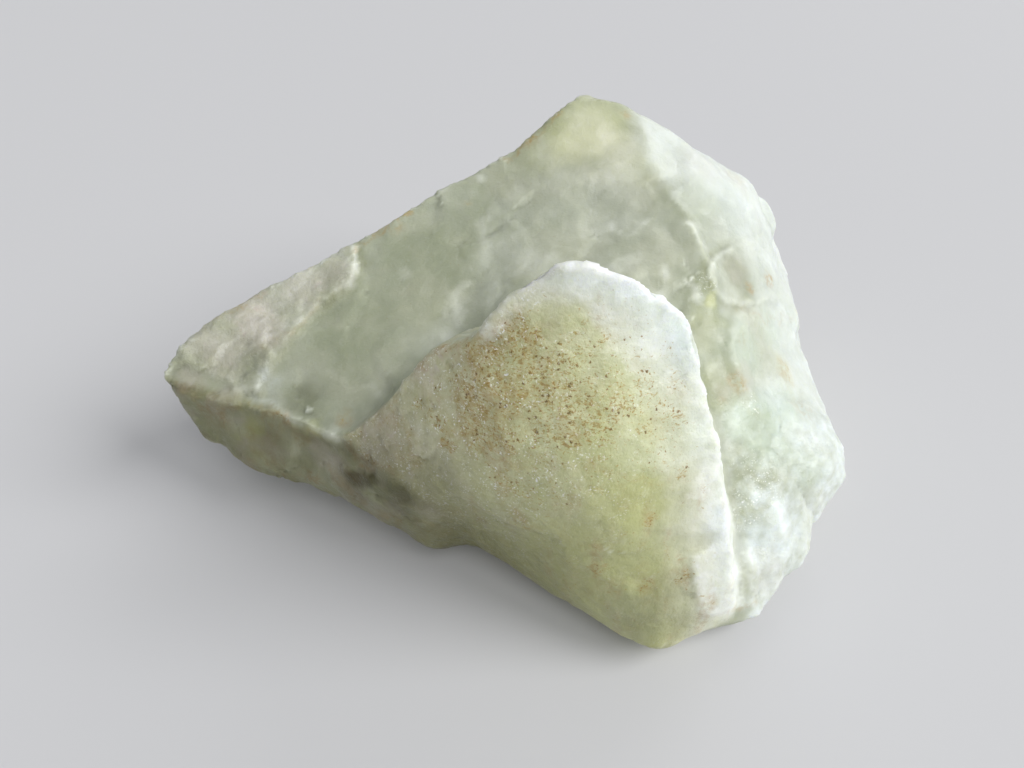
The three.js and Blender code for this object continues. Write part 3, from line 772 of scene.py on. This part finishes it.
def plate_heights(stone):
    """Thin plates that stand proud along their lip and sink back into the stone behind it."""
    return mixed(LEAST_PLATE, 1, stone.blotches("plate_breaks")) * risen(stone, PLATES)


def lobe_heights(stone):
    """Rounded shells that meet in creases, with dents between them."""
    height = np.zeros(len(stone.points))
    for share, rise in stone.around(LOBES, "lobes"):
        height = np.maximum(height, rise * (1 - share ** 2))
    return (height + bump_heights(stone, SIDE_DENTS)) * stone.blend(side=1)


def bump_heights(stone, places):
    """Soft round bumps, or dents where the rise is negative."""
    return sum(rise * smoothstep(1, 0, share) for share, rise in stone.around(places, "bumps"))


def terraces(points, name):
    """Flat flakes over flat flakes: noise cut into steps, 0 to 1."""
    size, seed, octaves, steps = TERRACES[name]
    level = (noise_at(points, size, seed, octaves) * 0.5 + 0.5) * steps
    whole = np.floor(level)
    return (whole + fade("terrace", level - whole)) / steps


def nicks(stone):
    """Bites along the sharp edges."""
    edge = fade("nicked_edge", stone.standing_out(NICK_PASSES))
    bites = BITE_DEPTH * stone.blotches("bite") + SMALL_BITE_DEPTH * stone.noise("small_bite")
    return -edge * bites * (1 - stone.blend(side=0.8, slope=0.5))


def fracture_heights(stone):
    points, masks = stone.points, stone.parts
    rough = stone.blend(hidden=1.0, under=0.6, side=0.2, slope=0.4, front=0.3, cheek=0.45)
    rough = np.maximum(rough - patches(stone, CALM_PLACES), 0)
    fine = stone.blend(hidden=0.8, under=0.8, side=0.1, grainy=0.35, slope=0.2, front=0.35, cheek=0.8,
                       band=0.7)
    sugary = SUGAR_EVERYWHERE + stone.blend(front=0.7, cheek=1.2, strip=-0.7, side=-0.2)
    details = {
        "swell": stone.noise("swell"),
        "large_chips": rough * chips(points, *LARGE_CHIPS),
        "small_chips": fine * chips(points, *SMALL_CHIPS),
        "sugar": sugary * stone.noise("sugar"),
        "side_grain": masks["grainy"] * stone.noise("side_grain"),
        "crest_grain": masks["crest"] * stone.noise("crest_grain"),
        "band_flakes": masks["band"] * terraces(points, "band_flakes"),
        "hidden_flakes": masks["hidden"] * terraces(points, "hidden_flakes"),
        "strip": masks["strip"] * stone.across("strip_slant"),
    }
    height = weighted(details, **DETAIL_HEIGHTS)
    height += plate_heights(stone) + lobe_heights(stone) + bump_heights(stone, CREST_BUMPS)
    return height + nicks(stone)


def break_up(stone):
    """Displaces the refined stone into its fracture detail, inside the CAD box, with its base flat."""
    rise = fracture_heights(stone) * lifted(stone.points)
    moved = stone.points + rise[:, None] * stone.normals
    low = np.array(CAD_BOX[0]) / MM + BOX_MARGIN
    high = np.array(CAD_BOX[1]) / MM - BOX_MARGIN
    moved = np.clip(moved, low, high)
    on_base = stone.points[:, 2] < FLAT_BASE_HEIGHT
    moved[on_base, 2] = stone.points[on_base, 2]
    set_points(stone.mesh, moved)
    stone.points = moved
    stone.normals = normals_of(stone.mesh)


# ---- Where the look changes ----
def patches(stone, places):
    """Sum of soft, ragged patches at the named places."""
    total = sum(amount * fade("patch", share) for share, amount in stone.around(places, "patches"))
    return total * (stone.seen + stone.round_edge)


def streaks(stone, lines):
    """Sum of soft, ragged lines in the view."""
    wavy = 2 * stone.ragged - stone.pixels
    total = sum(amount * smoothstep(width, STREAK_CORE * width, distance_to_line(line, wavy))
                for line, width, amount in lines)
    return total * (stone.seen + stone.round_edge)


def plate_marks(stone):
    """Painted highlights along the lips of the plates, and painted shade in the grooves beside them."""
    parts = list(plate_parts(stone, PLATES))
    lip = sum(inside * fade("lip", away) for inside, away, _ in parts)
    groove = sum((1 - inside) * fade("groove", away) for inside, away, _ in parts)
    return lip, groove * stone.seen


def shared_tones(stone):
    """Values besides the region masks that several attributes are made of."""
    masks = stone.parts
    front = masks["front"]
    lip, groove = plate_marks(stone)
    curtain = noise_at(stone.points * CURTAIN_SHAPE, *NOISES["curtain"])
    return {
        "cloud": stone.noise("cloud"),
        "sugar_cloud": stone.noise("sugar_cloud"),
        "hidden_drift": masks["hidden"] * stone.noise("drift"),
        # Painted highlight along the plates' lips, and painted shade in the grooves beside them.
        "lip": lip,
        "groove": groove,
        "green_groove": streaks(stone, GREEN_GROOVES),
        # Painted glow near the crest on the front face.
        "glow": front * stone.near("glow", GLOW_LINE),
        # Painted shade low on the front face.
        "low_front": front * stone.down("low_front") * stone.across("low_front_end"),
        # Painted rim light: the right side lighter near the stone's outline.
        "rim": masks["side"] * fade("rim", depth_inside(STONE_OUTLINE, stone.pixels)),
        "curtain": front * stone.down("curtain") * curtain,
        "flakes": masks["band"] * stone.blotches("flakes"),
        "hidden_end": masks["hidden"] * fade("hidden_milk", stone.points[:, 0]),
    }


def milk_and_light(stone):
    # Milky veils, with painted light: a whiter crest that is partly a painted glow, rim light and lip
    # highlights; and painted shade low on the front and in grooves.
    amount = stone.blend(slope=0.1, front=0.3, side=0.29, cheek=0.32, under=0.1, hidden=0.19,
                         strip=0.42, flakes=0.12, rim=0.34, crest=0.35, glow=0.42, low_front=-0.32,
                         green_groove=-1, hidden_end=0.24, curtain=0.2, lip=0.24, groove=-0.14)
    amount += stone.parts["cloud"] * stone.blend(slope=0.16, side=0.08, hidden=0.3)
    amount += stone.noise("grainy_milk") * stone.blend(grainy=0.3)
    amount += stone.noise("under_milk") * stone.blend(under=0.35)
    amount += risen(stone, VEILS) + streaks(stone, WHITE_STREAKS)
    return amount + patches(stone, MILK_AND_LIGHT_PLACES)


def cool(stone):
    amount = stone.blend(slope=0.4, side=0.55, under=0.3, hidden=0.45, strip=0.1, glow=0.35, crest=0.2,
                         rim=0.3, hidden_drift=0.4)
    return amount + patches(stone, COOL_PLACES)


def warm(stone):
    amount = stone.blend(slope=0.12, front=0.95, under=0.5, hidden=0.2, cheek=0.85, side=0.1,
                         hidden_drift=0.3, green_groove=0.3, groove=0.1, glow=-0.35, crest=-0.35)
    return amount + patches(stone, WARM_PLACES)


def stain(stone):
    stains = {face: stone.parts[face] * stone.blotches(face + "_stain")
              for face in ("under", "cheek", "front", "hidden")}
    stains["front"] *= 1 - stone.blend(glow=0.8)
    stains["curtain"] = fade("curtain_stain", stone.parts["curtain"])
    amount = weighted(stains, under=0.5, cheek=0.55, front=0.26, hidden=0.7, curtain=0.5)
    return amount + patches(stone, STAIN_PLACES) + streaks(stone, RUST_STREAKS)


def mint(stone):
    return stone.blend(side=0.12, hidden=0.1) + patches(stone, MINT_PLACES)


def pink(stone):
    amount = stone.blend(band=0.15, cheek=0.4) + patches(stone, PINK_PLACES)
    amount += stone.blotches("under_pink") * stone.blend(under=0.7)
    return amount + stone.blotches("hidden_pink") * stone.blend(hidden=0.35)


def shade_and_dark_tone(stone):
    """Painted shade low on the stone, by its foot and in its grooves, with a darker tone and dark
    patches.
    """
    under = stone.parts["under"]
    shades = {
        "everywhere": under,
        "to_foot": under * stone.across("under_foot_shade"),
        "cloud": under * stone.parts["cloud"],
        "foot": stone.near("foot_shade", FOOT_LINE),
        "wide_foot": stone.near("wide_foot_shade", FOOT_LINE),
    }
    foot = weighted(shades, foot=0.46, wide_foot=0.28) * stone.across("foot_shade_end")
    amount = weighted(shades, everywhere=0.6, to_foot=0.12, cloud=0.09)
    amount += foot * stone.blend(front=1, cheek=1)
    return amount + stone.blend(low_front=0.12, groove=0.11) + patches(stone, SHADE_AND_DARK_PLACES)


def speck(stone):
    amount = patches(stone, FLECK_PLACES) + stone.blend(front=0.16, cheek=0.2, hidden=0.1)
    return amount * (stone.near("below_crest", CREST_LINE) + stone.parts["hidden"])


def sugar(stone):
    amount = stone.blend(front=0.6, cheek=1.2, band=0.3, hidden=0.3, strip=-0.6, grainy=0.3, crest=0.2,
                         glow=-0.6, low_front=-0.3, sugar_cloud=0.2)
    amount += stone.across("front_sugar") * stone.blend(front=0.4)
    return amount + patches(stone, SUGAR_PLACES)


def calm(stone):
    return stone.blend(slope=1.0, side=0.9, band=-1.0)


# Painted highlight along the edges that stand out, weaker on the right side.
def edge(stone):
    standing = fade("bright_edge", stone.standing_out(EDGE_PASSES))
    return standing * (1 - stone.blend(side=0.7))


# Painted shade in hollows, where a vertex lies below its surroundings.
def hollow_shade(stone):
    return fade("hollow_shade", -stone.standing_out(HOLLOW_PASSES))


def body(stone):
    return stone.blotches("body")


def veil(stone):
    return mixed(stone.blotches("veil"), EVEN_VEIL, stone.blend(side=0.6))


def paint(stone):
    """Writes the vertex attributes that the material reads, each from 0 to 1."""
    stone.parts.update(shared_tones(stone))
    amounts = (milk_and_light, cool, warm, stain, mint, pink, shade_and_dark_tone, speck, sugar, calm, edge, hollow_shade, body, veil)
    for amount in amounts:
        attribute = stone.mesh.attributes.new(amount.__name__, "FLOAT", "POINT")
        values = np.clip(amount(stone), 0, 1)
        attribute.data.foreach_set("value", values.astype(np.float32))


# ---- Materials ----
class Graph:
    """Short names for the nodes of one material."""

    def __init__(self, material):
        self.tree = material.node_tree
        self.object_place = self.add("TexCoord").outputs["Object"]

    def add(self, kind, inputs=None, **settings):
        node = self.tree.nodes.new("ShaderNode" + kind)
        for name, value in settings.items():
            setattr(node, name, value)
        for name, value in (inputs or {}).items():
            self.feed(node.inputs[name], value)
        return node

    def feed(self, socket, value):
        if isinstance(value, bpy.types.NodeSocket):
            self.tree.links.new(value, socket)
        else:
            socket.default_value = value

    def attribute(self, name):
        return self.add("Attribute", attribute_name=name).outputs["Fac"]

    def strong(self, name):
        return self.product(self.attribute(name), STRENGTHS[name])

    def noise(self, size, detail, roughness, distortion, place=None):
        inputs = {"Vector": place or self.object_place, "Scale": 1 / (size * MM), "Detail": detail,
                  "Roughness": roughness, "Distortion": distortion}
        return self.add("TexNoise", inputs).outputs["Fac"]

    def grain(self, name):
        return self.noise(*GRAINS[name])

    def stretched(self, scale, turn):
        inputs = {"Vector": self.object_place, "Rotation": turn, "Scale": scale}
        return self.add("Mapping", inputs).outputs["Vector"]

    def smooth(self, value, low, high, to_low, to_high):
        inputs = {"Value": value, "From Min": low, "From Max": high,
                  "To Min": to_low, "To Max": to_high}
        return self.add("MapRange", inputs, interpolation_type="SMOOTHSTEP").outputs["Result"]

    def ramp(self, name, value):
        return self.smooth(value, *RAMPS[name])

    def ramped_grain(self, name):
        return self.ramp(name, self.grain(name))

    def math(self, operation, first, second=0.0):
        node = self.add("Math", operation=operation, use_clamp=operation == "ADD")
        self.feed(node.inputs[0], first)
        self.feed(node.inputs[1], second)
        return node.outputs["Value"]

    def product(self, *factors):
        result = factors[0]
        for factor in factors[1:]:
            result = self.math("MULTIPLY", result, factor)
        return result

    def mix(self, share, first, second, blend_type="MIX"):
        node = self.add("Mix", data_type="RGBA", blend_type=blend_type)
        sockets = [node.inputs[0], node.inputs[6], node.inputs[7]]
        for socket, value in zip(sockets, (share, first, second)):
            self.feed(socket, (*value, 1) if isinstance(value, tuple) else value)
        return node.outputs[2]

    def bump(self, height, distance, normal=None):
        inputs = {"Height": height, "Distance": distance * MM, "Strength": 1.0}
        if normal:
            inputs["Normal"] = normal
        return self.add("Bump", inputs).outputs["Normal"]


def stone_colours(graph):
    """Base colour: green body, milky veils with painted light, warm and pink tints, stains, flecks,
    painted glints, painted edge highlights and painted shade.
    """
    wisps = graph.ramped_grain("wisps")
    lively = graph.ramp("lively", graph.attribute("calm"))
    colour = graph.mix(graph.attribute("body"), DEEP_GREEN, PALE_GREEN)
    colour = graph.mix(graph.strong("warm"), colour, WARM_GREEN)
    veiled = graph.product(graph.attribute("milk_and_light"), graph.ramp("veil", graph.attribute("veil")))
    cloudy = graph.math("ADD", veiled, graph.product(wisps, lively, WISP_STRENGTH))
    colour = graph.mix(cloudy, colour, graph.mix(graph.attribute("cool"), CREAM_WHITE, MINT_WHITE))
    colour = graph.mix(graph.strong("mint"), colour, MINT_GREEN)
    pinkish = graph.product(graph.attribute("pink"), graph.ramp("pink", wisps))
    colour = graph.mix(pinkish, colour, PINK_GREY)
    stained = graph.product(graph.attribute("stain"), graph.ramped_grain("blotch"), STAIN_STRENGTH)
    colour = graph.mix(stained, colour, TAN)
    in_stain = graph.product(graph.attribute("stain"), FLECKS_IN_STAIN)
    density = graph.math("ADD", graph.attribute("speck"), in_stain)
    colour = add_smudges(graph, colour, density)
    colour = add_flecks(graph, colour, density)
    colour = add_sugar(graph, colour)
    edge_highlight = graph.product(graph.attribute("edge"), graph.ramped_grain("edge"))
    colour = graph.mix(edge_highlight, colour, EDGE_HIGHLIGHT)
    # Painted shade, in hollows too, multiplied in with the darker tone and dark patches.
    darkened = graph.math("ADD", graph.attribute("shade_and_dark_tone"), graph.strong("hollow_shade"))
    return graph.mix(darkened, colour, SHADE, blend_type="MULTIPLY")


def add_smudges(graph, colour, density):
    """Golden smudges, which are commonest where the flecks are packed."""
    present = graph.ramp("flecked", density)
    for smudge in SMUDGES:
        place = graph.stretched(SMUDGE_STRETCH, (SMUDGE_TILT, smudge["turn"], SMUDGE_ROLL))
        level = graph.smooth(density, *SMUDGE_DENSITY, smudge["rarest"], smudge["commonest"])
        over = graph.math("SUBTRACT", graph.noise(smudge["size"], *SMUDGE_GRAIN, place), level)
        tone = graph.mix(graph.ramp("smudge_tone", over), FLECK_HALO, FLECK_RUST)
        shown = graph.smooth(over, *SMUDGE_EDGE, 0, smudge["strength"])
        colour = graph.mix(graph.product(shown, present), colour, tone)
    return colour


def add_flecks(graph, colour, density):
    """Ragged dark flecks, in cells that are filled where the density is high."""
    ragged = graph.ramped_grain("ragged")
    for fleck in FLECKS:
        inputs = {"Vector": graph.object_place, "Scale": 1 / (fleck["spacing"] * MM)}
        cells = graph.add("TexVoronoi", inputs)
        chance = graph.add("SeparateColor", {"Color": cells.outputs["Color"]}).outputs["Red"]
        excess = graph.math("SUBTRACT", graph.product(density, fleck["share"]), chance)
        radius = graph.smooth(excess, 0, FULL_FLECK_EXCESS, 0, fleck["largest"])
        away = graph.math("ADD", graph.product(cells.outputs["Distance"], fleck["spacing"]), ragged)
        over = graph.math("SUBTRACT", radius, away)
        tone = graph.mix(graph.ramp("fleck_tone", over), FLECK_RUST, FLECK_DARK)
        colour = graph.mix(graph.ramp("fleck", over), colour, tone)
    return colour


def add_sugar(graph, colour):
    """The grain of a sugary fracture: white points painted as glints, and olive between them."""
    sugary = graph.attribute("sugar")
    colour = graph.mix(graph.product(graph.ramped_grain("mottle"), sugary), colour, OLIVE)
    points = graph.product(graph.ramped_grain("sparkle"), graph.ramp("sugary", sugary))
    return graph.mix(graph.product(points, graph.ramped_grain("cluster")), colour, GLINT_WHITE)


def stone_material():
    material = plain_material("aquamarine", PREVIEW_GREEN, PREVIEW_ROUGHNESS)
    graph = Graph(material)
    shader = graph.tree.nodes["Principled BSDF"]
    graph.feed(shader.inputs["Base Color"], stone_colours(graph))
    graph.feed(shader.inputs["Roughness"], graph.ramped_grain("roughness"))
    lively = graph.ramp("lively", graph.attribute("calm"))
    coarse = graph.bump(graph.product(graph.grain("coarse"), lively), COARSE_BUMP)
    fine = graph.product(graph.grain("fine"), graph.ramp("fine", graph.attribute("sugar")))
    graph.feed(shader.inputs["Normal"], graph.bump(fine, FINE_BUMP, coarse))
    shader.inputs["IOR"].default_value = BERYL_IOR
    shader.inputs["Subsurface Weight"].default_value = 1.0
    shader.inputs["Subsurface Radius"].default_value = SCATTER_RADIUS
    shader.inputs["Subsurface Scale"].default_value = SCATTER_SCALE * MM
    return material


def plain_material(name, colour, roughness):
    material = bpy.data.materials.new(name)
    material.use_nodes = True
    shader = material.node_tree.nodes["Principled BSDF"]
    shader.inputs["Base Color"].default_value = (*colour, 1)
    shader.inputs["Roughness"].default_value = roughness
    return material


# ---- The stage ----
def make_camera():
    data = bpy.data.cameras.new("photo_camera")
    data.sensor_width = SENSOR_WIDTH
    data.lens = FOCAL_PIXELS / PHOTO_WIDTH * SENSOR_WIDTH
    data.clip_start = CLIP_NEAR * MM
    data.clip_end = CLIP_FAR * MM
    camera = in_scene("photo_camera", data)
    camera.location = CAMERA_PLACE * MM
    camera.rotation_euler = (math.pi / 2 - CAMERA_PITCH, 0, 0)
    bpy.context.scene.camera = camera


def make_floor():
    mesh = bpy.data.meshes.new("floor")
    signs = [(-1, -1), (1, -1), (1, 1), (-1, 1)]
    corners = [(across * FLOOR_HALF, along * FLOOR_HALF, 0) for across, along in signs]
    mesh.from_pydata(corners, [], [(0, 1, 2, 3)])
    mesh.materials.append(plain_material("floor", FLOOR_GREY, FLOOR_ROUGHNESS))
    in_scene("floor", mesh)


def soft_light(name, azimuth, elevation, strength):
    """A wide, soft light from far away."""
    turn, rise = math.radians(azimuth), math.radians(elevation)
    way = Vector((math.cos(turn) * math.cos(rise), math.sin(turn) * math.cos(rise), math.sin(rise)))
    data = bpy.data.lights.new(name, "SUN")
    data.angle = math.radians(LIGHT_WIDTH)
    data.energy = strength
    light = in_scene(name, data)
    light.rotation_euler = way.to_track_quat("Z", "Y").to_euler()


def light_stage():
    world = bpy.data.worlds.new("studio")
    world.use_nodes = True
    background = world.node_tree.nodes["Background"]
    background.inputs["Color"].default_value = WORLD_COLOUR
    background.inputs["Strength"].default_value = WORLD_STRENGTH
    bpy.context.scene.world = world
    bpy.context.scene.view_settings.view_transform = "Standard"
    for name, settings in LIGHTS.items():
        soft_light(name, *settings)


def make_stone():
    piece = refined_copy(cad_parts[NODE])
    stone = Stone(piece.data)
    break_up(stone)
    paint(stone)
    piece.data.materials.append(stone_material())
    piece.data.shade_smooth()
    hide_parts(NODE)
    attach(piece, "root")


make_stone()
make_camera()
make_floor()
light_stage()
